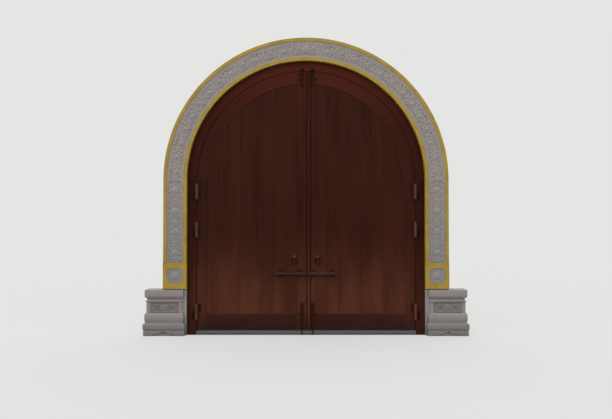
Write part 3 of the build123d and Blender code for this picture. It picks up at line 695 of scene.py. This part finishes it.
def carve_leg(bottom, top):
    """The long panel of a leg."""
    field = Field(bottom, top, FIELD_HALF)
    low, high = bottom + LEG_INSET + LEG_END_INSET, top - LEG_INSET - LEG_END_INSET
    half = FIELD_HALF - LEG_INSET
    lower, upper, inner = low + LEG_CORNER, high - LEG_CORNER, half - LEG_CORNER
    outline = [
        (low, -inner), (low, inner), (lower, half), (upper, half), (high, inner), (high, -inner),
        (upper, -half), (lower, -half), (low, -inner),
    ]
    field.stroke(outline, 0.012, RELIEF * 0.85)
    pitch = (top - bottom) / LEG_ROWS
    for row in range(LEG_ROWS):
        level = bottom + pitch * (row + 0.5)
        carve_leg_row(field, level, pitch)
        if row < LEG_ROWS - 1:
            field.flower(level + pitch / 2, 0, SMALL_FLOWER, 6, RELIEF * 0.8)
            for side in (-1, 1):
                place = (level + pitch / 2, side * SMALL_SPIRAL_SIDE)
                field.spiral(*place, SMALL_SPIRAL, 90, side * 1.2, 0.008, RELIEF_LOW)
    field.ground()
    field.borders()
    return field


# The medallions: what the gilt panel frame leaves in view

MEDALLION_LOW = GILT_BOTTOM + 0.089
MEDALLION_HIGH = GILT_TOP - 0.086
MEDALLION_RADIUS = (MEDALLION_HIGH - MEDALLION_LOW) * 0.42


def carve_medallion(bottom, top):
    """A flower in a ring, with a bead between its petals."""
    field = Field(bottom, top, FIELD_HALF)
    middle = (MEDALLION_LOW + MEDALLION_HIGH) / 2
    field.stroke(circle(middle, 0, MEDALLION_RADIUS, 80), 0.011, RELIEF * 0.65)
    field.flower(middle, 0, MEDALLION_RADIUS * 0.74, 8, RELIEF)
    reach = MEDALLION_RADIUS * 0.83
    for turn in np.radians(np.arange(22.5, 360, 45)):
        field.dome(middle + reach * math.cos(turn), reach * math.sin(turn), 0.006, RELIEF * 0.7)
    field.ground()
    return field


# Carved stones

JOINT = 0.0003
MORTAR_RECESS = 0.0008
MORTAR_REACH = JOINT * 1.3
ARRIS = 0.0005
GROOVE_DEPTH = 0.030
CARVED_SHARP_ANGLE = 62
SOFFIT_DISTANCE, SOFFIT_FACING = 0.0015, 0.3


def shown(name, mesh, sharp_angle):
    """The object of a mesh, with smooth shading up to a sharp angle in degrees."""
    mesh.shade_smooth()
    mesh.set_sharp_from_angle(angle=math.radians(sharp_angle))
    made = bpy.data.objects.new(name, mesh)
    bpy.context.scene.collection.objects.link(made)
    return made


def closed_slab(name, grid_places, heights, back, face=STONE_FRONT):
    """A solid whose front is a grid of places with heights, and whose back is flat.

    grid_places gives x and z for each row and column; heights is how far each stands out of the face.
    """
    rows, columns = heights.shape
    xs, zs = grid_places
    front = np.stack([xs, face - heights, zs], axis=-1).reshape(-1, 3)
    edge = [(0, column) for column in range(columns)]
    edge += [(row, columns - 1) for row in range(1, rows)]
    edge += [(rows - 1, column) for column in range(columns - 2, -1, -1)]
    edge += [(row, 0) for row in range(rows - 2, 0, -1)]
    rim = [row * columns + column for row, column in edge]
    behind = front[rim].copy()
    behind[:, 1] = back
    first_behind = len(front)
    corner = (np.arange(rows - 1)[:, None] * columns + np.arange(columns - 1)[None, :]).ravel()
    faces = np.stack([corner, corner + 1, corner + columns + 1, corner + columns], axis=-1).tolist()
    count = len(rim)
    for index in range(count):
        following = (index + 1) % count
        faces.append([rim[following], rim[index], first_behind + index, first_behind + following])
    faces.append([first_behind + index for index in range(count)])
    mesh = bpy.data.meshes.new(name)
    mesh.from_pydata(np.vstack([front, behind]).tolist(), [], faces)
    mesh.validate()
    mesh.update()
    if mesh.polygons[0].normal.y >= 0:
        mesh.flip_normals()
    return shown(name, mesh, CARVED_SHARP_ANGLE)


def with_margins(field, rows):
    """A field's across places and heights, with the flat band under each gilt moulding added."""
    across = np.concatenate([[-FIELD_HALF - GILT_WIDTH], field.v, [FIELD_HALF + GILT_WIDTH]])
    heights = field.height[rows]
    flat = np.zeros((len(heights), 1))
    return across, np.hstack([flat, heights, flat])


def round_arch(along, across):
    """Where places along the arch and across it lie in the frame's x and z."""
    turn = along[:, None] / ARCH_MIDDLE
    radius = ARCH_MIDDLE + across[None, :]
    return -radius * np.sin(turn), SPRINGING + radius * np.cos(turn)


def gild_soffit(stone, gilt):
    """Gives the second material to the side that faces the opening."""
    mesh = stone.data
    mesh.materials.append(gilt)
    count = len(mesh.polygons)
    centres, normals = np.empty(count * 3), np.empty(count * 3)
    mesh.polygons.foreach_get("center", centres)
    mesh.polygons.foreach_get("normal", normals)
    x, _, z = centres.reshape(-1, 3).T
    away = np.hypot(x, np.maximum(z - SPRINGING, 0.0))
    sideways = np.abs(normals.reshape(-1, 3)[:, 1]) < SOFFIT_FACING
    inner = (np.abs(away - ARCH_INNER) < SOFFIT_DISTANCE) & sideways
    mesh.polygons.foreach_set("material_index", inner.astype(np.int32))


def add_stone(name, places, heights, carved, gilt):
    """The finer carved stone in the place of a CAD one, with the arrises at its two ends eased."""
    heights[0] -= ARRIS
    heights[-1] -= ARRIS
    stone = closed_slab(f"carved_{name}", places, heights, STONE_BACK)
    stone.data.materials.append(carved)
    gild_soffit(stone, gilt)
    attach(stone, "root")
    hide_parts(name)


def add_mortar(index, arch, row, carved):
    """Fills the joint between two arch stones nearly flush, in the stone's own tone."""
    across, heights = with_margins(arch, slice(row, row + 1))
    places = round_arch(arch.s[row] + np.array([-MORTAR_REACH, MORTAR_REACH]), across)
    heights = np.vstack([heights, heights]) - MORTAR_RECESS
    mortar = closed_slab(f"mortar_{index}", places, heights, STONE_BACK - MORTAR_RECESS)
    mortar.data.materials.append(carved)
    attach(mortar, "root")


def make_carved_stones():
    carved = granite("carved granite", STONE_TONE, 0.4, 0.012, low_tone=STONE_LOW_TONE)
    gilt = gilding("soffit gilding")
    arch = carve_arch()
    step = (len(arch.s) - 1) // ARCH_STONES
    for index in range(ARCH_STONES):
        rows = slice(index * step, (index + 1) * step + 1)
        across, heights = with_margins(arch, rows)
        along = arch.s[rows].copy()
        along[0] += JOINT if index else 0
        along[-1] -= JOINT if index < ARCH_STONES - 1 else 0
        add_stone(f"arch_stone_{index + 1}", round_arch(along, across), heights, carved, gilt)
    for index in range(1, ARCH_STONES):
        add_mortar(index, arch, index * step, carved)
    for side, sign in SIDES:
        for part, carve in (("leg_stone", carve_leg), ("medallion_stone", carve_medallion)):
            name = f"{side}_{part}"
            low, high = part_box(name)
            field = carve(low[2], high[2])
            across, heights = with_margins(field, slice(None))
            if part == "medallion_stone":
                heights[field.s < GILT_BOTTOM] = -GROOVE_DEPTH
            xs = np.broadcast_to(sign * (ARCH_MIDDLE + across)[None, :], heights.shape)
            zs = np.broadcast_to(field.s[:, None], heights.shape)
            add_stone(name, (xs, zs), heights, carved, gilt)


# Plinths: heights of the courses from the ground up, and how far each is set back from the proudest one

PLINTH_INNER = ARCH_INNER + 0.020
PLINTH_MIDDLE = (PLINTH_OUTER + PLINTH_INNER) / 2
PLINTH_HALF = (PLINTH_OUTER - PLINTH_INNER) / 2
FOOT_HEIGHT = 0.092
BAND_TOP = 0.196
BULGE_TOP = 0.358
WAIST_TOP = 0.532
COVE_TOP = 0.611
FOOT_SETBACK, WAIST_SETBACK = 0.021, 0.050
FOOT_RELIEF = 0.012
CURL_RELIEF = FOOT_RELIEF + 0.005
WAIST_RELIEF = 0.008
WAIST_SHARE, WAIST_MARGIN = 0.8, 0.010
# A leaf's spine, as shares of the waist panel's half width and half height; its width and lobes
WAIST_LEAVES = (
    (((0.74, 0.2), (0.84, 0.6), (0.93, 0.74)), 0.024, 4),
    (((0.34, 0.3), (0.32, 0.7), (0.20, 0.80)), 0.020, 3),
)
PANEL_GROUND, PANEL_DEPTH = 0.0012, 0.004
FOOT_LIFT = 0.0005
CORE_INSET = 0.0006
CORE_EDGE = 0.003
SHARP_ANGLE = 40


def arc(centre, radii, start, end, steps):
    """Points on an ellipse about (setback, height), from start to end in degrees."""
    points = []
    for turn in np.radians(np.linspace(start, end, steps)):
        points.append((centre[0] + radii[0] * math.cos(turn), centre[1] + radii[1] * math.sin(turn)))
    return points


def plinth_profile():
    """The mouldings as (setback, height): foot, band, bulge, waist, cove and top course."""
    profile = [(FOOT_SETBACK, 0.0), (FOOT_SETBACK, FOOT_HEIGHT)]
    profile += [(0.014, FOOT_HEIGHT + 0.001), (0.014, FOOT_HEIGHT + 0.010)]
    profile += arc((0.004, FOOT_HEIGHT + 0.014), (0.004, 0.004), 270, 180, 4)
    profile += arc((0.020, BAND_TOP - 0.022), (0.020, 0.020), 180, 90, 8)
    bulge_bottom = BAND_TOP + 0.008
    profile += [(0.028, BAND_TOP + 0.001), (0.028, bulge_bottom)]
    middle, half = (BULGE_TOP + bulge_bottom) / 2, (BULGE_TOP - bulge_bottom) / 2
    profile += arc((0.042, middle), (0.020, half), 240, 90, 18)
    profile += [(WAIST_SETBACK, BULGE_TOP + 0.001), (WAIST_SETBACK, WAIST_TOP)]
    profile += [(0.036, WAIST_TOP + 0.001), (0.035, WAIST_TOP + 0.013), (0.048, WAIST_TOP + 0.014)]
    profile += arc((0.038, WAIST_TOP + 0.040), (0.022, 0.026), 300, 450, 12)
    profile += [(0.034, COVE_TOP - 0.013), (0.034, COVE_TOP - 0.001), (0.029, COVE_TOP)]
    profile += arc((0.032, COVE_TOP + 0.006), (0.006, 0.006), 270, 180, 4)
    profile += arc((0.032, PLINTH_TOP - 0.006), (0.006, 0.006), 180, 90, 4)
    return profile


def solid_from(name, points, faces):
    """A closed mesh with its faces turned outwards."""
    mesh = bpy.data.meshes.new(name)
    mesh.from_pydata(points, [], faces)
    mesh.validate()
    sculpt = bmesh.new()
    sculpt.from_mesh(mesh)
    bmesh.ops.recalc_face_normals(sculpt, faces=sculpt.faces)
    sculpt.to_mesh(mesh)
    sculpt.free()
    return shown(name, mesh, SHARP_ANGLE)


def tube_faces(count):
    """The faces of a closed four-sided tube with count rings of corners."""
    faces = []
    for ring in range(count - 1):
        for side in range(4):
            low, following = ring * 4 + side, ring * 4 + (side + 1) % 4
            faces.append((low, following, following + 4, low + 4))
    return faces + [(3, 2, 1, 0), tuple(range(4 * count - 4, 4 * count))]


def box_points(x_low, x_high, y_low, y_high, z_low, z_high):
    """A box, as its points and faces."""
    points = [(x, y, z) for z in (z_low, z_high) for y in (y_low, y_high) for x in (x_low, x_high)]
    faces = [(0, 1, 3, 2), (4, 5, 7, 6), (0, 1, 5, 4), (2, 3, 7, 6), (0, 2, 6, 4), (1, 3, 7, 5)]
    return points, faces


def plinth_shell(name, sign):
    """The plinth's mouldings, turned round its two front corners, with a flat back."""
    profile = plinth_profile()
    corners = []
    for setback, height in profile:
        outer, inner = PLINTH_OUTER - setback, PLINTH_INNER + setback
        front = PLINTH_FRONT + setback
        for across, depth in ((outer, PLINTH_BACK), (outer, front), (inner, front), (inner, PLINTH_BACK)):
            corners.append((sign * across, depth, height))
    return solid_from(name, corners, tube_faces(len(profile)))


def carve_waist(half, tall):
    """A framed panel: a flower between two scrolls, with leaves at the corners."""
    def at(a, b):
        return (half * a, tall * b)

    field = Field(-half, half, tall)
    frame_s, frame_v = half - 0.008, tall - 0.008
    signs = ((-1, -1), (1, -1), (1, 1), (-1, 1), (-1, -1))
    field.stroke([(frame_s * s, frame_v * v) for s, v in signs], 0.011, WAIST_RELIEF)
    field.flower(0, 0, tall * 0.68, 5, WAIST_RELIEF)
    for side in (-1, 1):
        field.spiral(*at(side * 0.55, 0), tall * 0.62, 90 + 90 * side, -1.6 * side, 0.012, WAIST_RELIEF)
        stem = bend(at(side * 0.16, -0.5), at(side * 0.30, -0.9), at(side * 0.40, 0))
        field.stroke(stem, (0.009, 0.010), WAIST_RELIEF)
        for up in (-1, 1):
            for spine, width, lobes in WAIST_LEAVES:
                field.leaf(bend(*(at(side * a, up * b) for a, b in spine)), width, WAIST_RELIEF, lobes)
    return field


def apron(share):
    """The ogee under the foot: its height, from 1 at the middle to 0 at the block feet."""
    upper = 1 - 0.62 * (2 * share) ** 0.8
    lower = 0.38 - 0.38 * np.clip(2 * share - 1, 0, 1) ** 2.2
    return np.where(share < 0.5, upper, lower)


def carve_foot(half, tall):
    """Two block feet with curls, and an ogee apron between them; v runs up from -tall to tall."""
    field = Field(-half, half, tall)
    away = np.abs(field.s)[:, None]
    level = (field.v + tall)[None, :]
    span = half * 0.66
    rise = 2 * tall * 0.86
    edge = rise * apron(np.clip(away / span, 0, 1))
    field.height = np.where((away > span) | (level > edge), FOOT_RELIEF, 0.0)
    steps = np.linspace(0, 0.97, 30)
    for side in (-1, 1):
        line = np.stack([side * steps * span, rise * apron(steps) - tall + 0.004], axis=-1)
        field.stroke(line, 0.008, FOOT_RELIEF + 0.004)
        place = (side * (span + 0.030), -tall * 0.25)
        field.spiral(*place, 0.026, 90 + 90 * side, -1.5 * side, 0.009, CURL_RELIEF)
    field.leaf([(0.0, -tall * 0.1 + step) for step in np.linspace(0.0, tall, 8)], 0.026, CURL_RELIEF)
    return field


def panel_slab(name, field, middle, setback, sign):
    """A carved panel on the plinth's course with that setback, with its middle at that height."""
    face = PLINTH_FRONT + setback
    xs = np.broadcast_to(sign * (PLINTH_MIDDLE + field.s)[:, None], field.height.shape)
    zs = np.broadcast_to((middle + field.v)[None, :], field.height.shape)
    return closed_slab(name, (xs, zs), field.height + PANEL_GROUND, face + PANEL_DEPTH, face)


def plinth_core(name, sign):
    """The plain block in line with the leg, which the plinth's mouldings stand proud of."""
    low, high = sorted((sign * ARCH_INNER, sign * ARCH_OUTER))
    box = box_points(low, high, STONE_FRONT, PLINTH_BACK - CORE_INSET, CORE_INSET, PLINTH_TOP - CORE_INSET)
    core = solid_from(name, *box)
    soften(core, CORE_EDGE)
    return core


def make_plinths():
    stone = granite("plinth granite", PLINTH_TONE, 0.75, 0.05, 0.4)
    # A darker copy of the plinth's granite, painted shade on the waist under the top course
    shaded = granite("waist granite", WAIST_SHADE_TONE, 0.7, 0.03)
    waist_tall = (WAIST_TOP - BULGE_TOP) / 2 - WAIST_MARGIN
    waist = carve_waist((PLINTH_HALF - WAIST_SETBACK) * WAIST_SHARE, waist_tall)
    foot = carve_foot(PLINTH_HALF - FOOT_SETBACK + FOOT_RELIEF, FOOT_HEIGHT / 2)
    for side, sign in SIDES:
        pieces = [
            plinth_shell(f"carved_{side}_plinth", sign),
            panel_slab(f"{side}_waist_panel", waist, (WAIST_TOP + BULGE_TOP) / 2, WAIST_SETBACK, sign),
            panel_slab(f"{side}_scroll_foot", foot, FOOT_HEIGHT / 2 + FOOT_LIFT, FOOT_SETBACK, sign),
            plinth_core(f"{side}_plinth_core", sign),
        ]
        for piece in pieces:
            piece.data.materials.append(shaded if "waist" in piece.name else stone)
            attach(piece, "root")
        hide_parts(f"{side}_plinth")


# Loose tongues and a strip in near-black painted shade, which stop light in the hairline joints of the
# woodwork

TONGUE_HALF = 0.004
TONGUE_THICKNESS = 0.003
TONGUE_END = 0.010
ARC_STEPS = 48
SPLINE_END = 0.002
SHADE_STRIP_INTO_LEAF, SHADE_STRIP_PAST_LEAF = 0.0028, 0.0012
SHADE_STRIP_FRONT, SHADE_STRIP_BACK = 0.010, 0.003
SHADE_STRIP_FOOT, SHADE_STRIP_TOP = 0.003, 0.006
JOINT_SHADE_SCALE = (900, 900, 900)
# Near-black tones of the painted shade in the joints
JOINT_SHADE_DARK, JOINT_SHADE_LIGHT = (0.004, 0.003, 0.003, 1), (0.012, 0.009, 0.008, 1)


# Near-black painted shade for the pieces in the woodwork's joints
def joint_shade_black():
    graph = surface("joint painted shade")
    shade_grain = graph.noise(graph.place, JOINT_SHADE_SCALE, 2.0)
    return graph.finish(graph.blend(JOINT_SHADE_DARK, JOINT_SHADE_LIGHT, shade_grain, 0.4, 0.7), 0.95, 0.02)


def joined_solids(name, solids):
    """One piece made of several closed solids, each given as its points and faces."""
    points, faces = [], []
    for corners, sides in solids:
        faces += [tuple(len(points) + corner for corner in side) for side in sides]
        points += corners
    return solid_from(name, points, faces)


def arc_bar(sign, radius, half, front, back, turns):
    """A flat bar bent to a radius about the springing; turns are its angles from upright."""
    inner, outer = radius - half, radius + half
    points = []
    for turn in turns:
        for reach, depth in ((inner, front), (outer, front), (outer, back), (inner, back)):
            points.append((sign * reach * math.sin(turn), depth, SPRINGING + reach * math.cos(turn)))
    return points, tube_faces(len(turns))


def make_seam_shade_strip(black):
    """A near-black strip of painted shade on the left leaf, in the back of the seam, that stops light there.
    """
    low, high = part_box("left_meeting_stile")
    brush = solid_from("seam_shade_strip", *box_points(
        high[0] - SHADE_STRIP_INTO_LEAF, high[0] + SHADE_STRIP_PAST_LEAF, high[1] - SHADE_STRIP_FRONT, high[1] - SHADE_STRIP_BACK,
        low[2] + SHADE_STRIP_FOOT, high[2] - SHADE_STRIP_TOP,
    ))
    brush.data.materials.append(black)
    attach(brush, "left_leaf")


def leaf_tongues(side, sign):
    """The tongues between a leaf's boards, and between the boards and the frame round them."""
    low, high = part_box(f"{side}_boards")
    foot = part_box(f"{side}_bottom_rail")[0][2]
    near, far = sorted((abs(low[0]), abs(high[0])))
    infill = math.hypot(near, high[2] - SPRINGING)
    front = (low[1] + high[1] - TONGUE_THICKNESS) / 2
    back = front + TONGUE_THICKNESS
    solids = []
    for index in range(BOARD_COUNT + 1):
        x = near + index * (far - near) / BOARD_COUNT
        reach = LEAF_RADIUS - TONGUE_END if index == 0 else infill
        top = SPRINGING + math.sqrt(max(reach * reach - x * x, 0.0))
        bottom = foot + TONGUE_END if index in (0, BOARD_COUNT) else low[2] - TONGUE_HALF
        x_low, x_high = sorted((sign * (x - TONGUE_HALF), sign * (x + TONGUE_HALF)))
        solids.append(box_points(x_low, x_high, front, back, bottom, top))
    x_low, x_high = sorted((sign * near, sign * far))
    solids.append(box_points(x_low, x_high, front, back, low[2] - TONGUE_HALF, low[2] + TONGUE_HALF))
    turns = np.linspace(math.asin(near / infill), math.asin(min(far / infill, 1.0)), ARC_STEPS)
    solids.append(arc_bar(sign, infill, TONGUE_HALF, front, back, turns))
    return solids


def make_tongues(black):
    for side, sign in SIDES:
        tongues = joined_solids(f"{side}_tongues", leaf_tongues(side, sign))
        tongues.data.materials.append(black)
        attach(tongues, f"{side}_leaf")


def make_crown_spline(black):
    """A loose tongue in the joint between the two halves of the frame's head."""
    low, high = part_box("left_head")
    middle = (low[1] + high[1]) / 2
    spline = solid_from("crown_spline", *box_points(
        -TONGUE_HALF, TONGUE_HALF, middle, middle + TONGUE_THICKNESS,
        SPRINGING + FRAME_INNER + SPLINE_END, high[2] - SPLINE_END,
    ))
    spline.data.materials.append(black)
    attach(spline, "root")


# Camera, light and floor

CAMERA_DISTANCE = 10.0
CAMERA_HEIGHT = 1.78
CAMERA_TILT = 1.2
FOCAL_PIXELS = 628
FRAME_WIDTH_PIXELS = 612
SENSOR_WIDTH = 36.0
BACKDROP = linear(229, 230, 228)
SKY_DIRECTION = (-0.30, -0.62, 0.72)
SKY_EDGE, SKY_LOW, SKY_HIGH = -0.1, 0.10, 1.75
SKY_COLOUR = (0.97, 0.98, 1.0, 1.0)
FILL_DIRECTION = (0.25, 0.85, 0.35)
FILL_EDGE, FILL_HIGH = 0.2, 1.3
FLOOR_HALF = 60.0
FLOOR_GLOW = 0.64
FLOOR_TONE = (0.21, 0.207, 0.20, 1.0)


def make_camera():
    data = bpy.data.cameras.new("camera")
    data.sensor_width = SENSOR_WIDTH
    data.lens = FOCAL_PIXELS / FRAME_WIDTH_PIXELS * SENSOR_WIDTH
    camera = bpy.data.objects.new("camera", data)
    camera.location = (0.0, -CAMERA_DISTANCE, CAMERA_HEIGHT)
    camera.rotation_euler = (math.radians(90 + CAMERA_TILT), 0, 0)
    bpy.context.scene.collection.objects.link(camera)
    bpy.context.scene.camera = camera


def make_light():
    """A soft sky, brightest high in front and to the left, with a weak fill from behind.

    The camera sees a plain backdrop instead.
    """
    world = bpy.data.worlds.new("studio")
    bpy.context.scene.world = world
    world.use_nodes = True
    world.node_tree.nodes.clear()
    graph = Graph(world)
    way = graph.place.node.outputs["Generated"]

    def glow(direction, edge, low, high):
        towards = Vector(direction).normalized()
        facing = graph.node("ShaderNodeVectorMath", {"operation": "DOT_PRODUCT"}, "Value", _0=way, _1=towards)
        return graph.ramp(facing, edge, 1.0, low, high)

    sky = glow(SKY_DIRECTION, SKY_EDGE, SKY_LOW, SKY_HIGH)
    fill = glow(FILL_DIRECTION, FILL_EDGE, 0.0, FILL_HIGH)
    soft = graph.node("ShaderNodeBackground", Color=SKY_COLOUR, Strength=graph.plus(sky, fill))
    seen = graph.node("ShaderNodeBackground", Color=BACKDROP)
    both = graph.node("ShaderNodeMixShader", _0=graph.camera_sees(), _1=soft, _2=seen)
    graph.put(graph.tree.nodes.new("ShaderNodeOutputWorld").inputs["Surface"], both)


def make_floor():
    """A wide floor that meets the backdrop without a line, and throws little light back up."""
    mesh = bpy.data.meshes.new("floor")
    corners = [(x * FLOOR_HALF, y * FLOOR_HALF, 0) for x, y in ((-1, -1), (1, -1), (1, 1), (-1, 1))]
    mesh.from_pydata(corners, [], [(0, 1, 2, 3)])
    floor = bpy.data.objects.new("floor", mesh)
    bpy.context.scene.collection.objects.link(floor)
    graph = surface("floor")
    glow = (BACKDROP, graph.times(graph.camera_sees(), FLOOR_GLOW))
    mesh.materials.append(graph.finish(FLOOR_TONE, 0.9, 0.0, glow=glow))


make_camera()
make_light()
make_floor()
dress_woodwork()
dress_ironwork()
dress_stonework()
make_carved_stones()
make_plinths()
black = joint_shade_black()
make_seam_shade_strip(black)
make_tongues(black)
make_crown_spline(black)

bpy.context.scene.view_settings.view_transform = "Standard"
